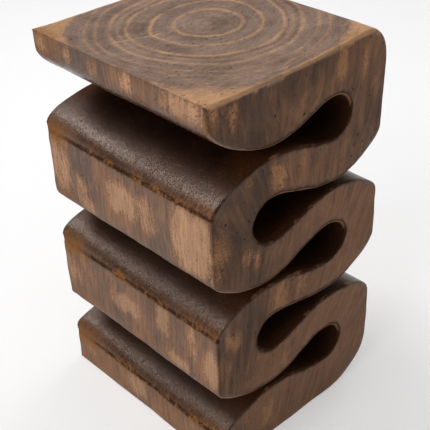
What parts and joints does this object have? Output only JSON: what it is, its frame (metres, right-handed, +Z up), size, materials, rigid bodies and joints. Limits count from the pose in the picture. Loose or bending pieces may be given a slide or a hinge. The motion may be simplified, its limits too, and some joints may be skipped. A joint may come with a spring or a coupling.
{
  "type": "carved wooden headrest",
  "caption": "Block-shaped wooden headrest, carved from one piece as a thick ribbon folded to and fro, with a slightly dished top for the head.",
  "frame": {"origin": "on the floor, under the middle of the block", "axes": "+Z up; +X across the folds, from the side with three mouths to the side with two; Y through the block, along the slots"},
  "size_m": [0.1017, 0.1075, 0.1828],
  "materials": {
    "dark_wood": "worn satin, hand rubbed",
    "pale_filler": "matte wax"
  },
  "bodies": {
    "root": {"headrest_body": "dark_wood", "check_filler": "pale_filler"}
  },
  "joints": []
}
